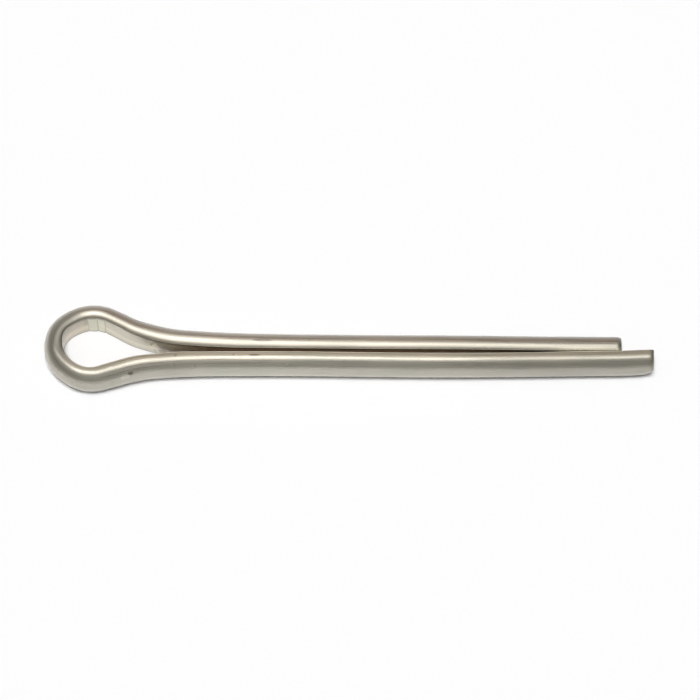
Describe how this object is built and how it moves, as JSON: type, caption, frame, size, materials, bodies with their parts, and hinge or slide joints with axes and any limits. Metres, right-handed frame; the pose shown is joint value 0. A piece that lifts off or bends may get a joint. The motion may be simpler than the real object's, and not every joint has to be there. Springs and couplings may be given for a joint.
{
  "type": "cotter pin",
  "caption": "Half-round wire bent into a teardrop eye, with a short and a long prong lying flat to flat, pushed through a cross hole and spread to keep a pin or nut in place.",
  "frame": {"origin": "on the shank's axis at the seat under the eye, from which the pin's length is measured", "axes": "+X along the shank from the eye to the prong ends, +Y towards the short prong, +Z along the eye's axis; the pin lies on its side"},
  "size_m": [0.043, 0.0065, 0.003],
  "materials": {
    "steel": "bright drawn wire, satin with fine lengthwise streaks"
  },
  "bodies": {
    "root": {"cotter_pin": "steel"}
  },
  "joints": []
}
